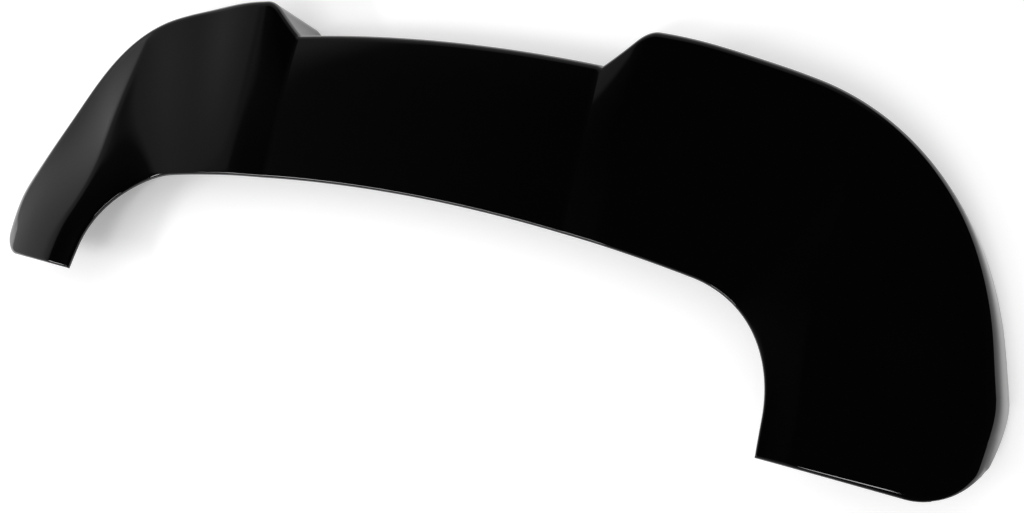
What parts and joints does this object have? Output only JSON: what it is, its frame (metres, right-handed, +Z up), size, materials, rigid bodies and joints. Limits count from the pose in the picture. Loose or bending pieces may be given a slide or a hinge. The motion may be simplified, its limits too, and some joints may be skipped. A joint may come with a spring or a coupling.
{
  "type": "rear spoiler",
  "caption": "Gloss black rear roof spoiler: a thin moulded shell with a recessed middle, raised ears at the trailing edge and two legs that reach round the roof edge.",
  "frame": {"origin": "middle of the outer box, at the height of the skirt's rim", "axes": "+X to the car's right, +Y to the rear, +Z up from the rim that it rests on"},
  "size_m": [1.2018, 0.3522, 0.0791],
  "materials": {
    "gloss_black_abs": "gloss"
  },
  "bodies": {
    "root": {"spoiler_shell": "gloss_black_abs"}
  },
  "joints": []
}
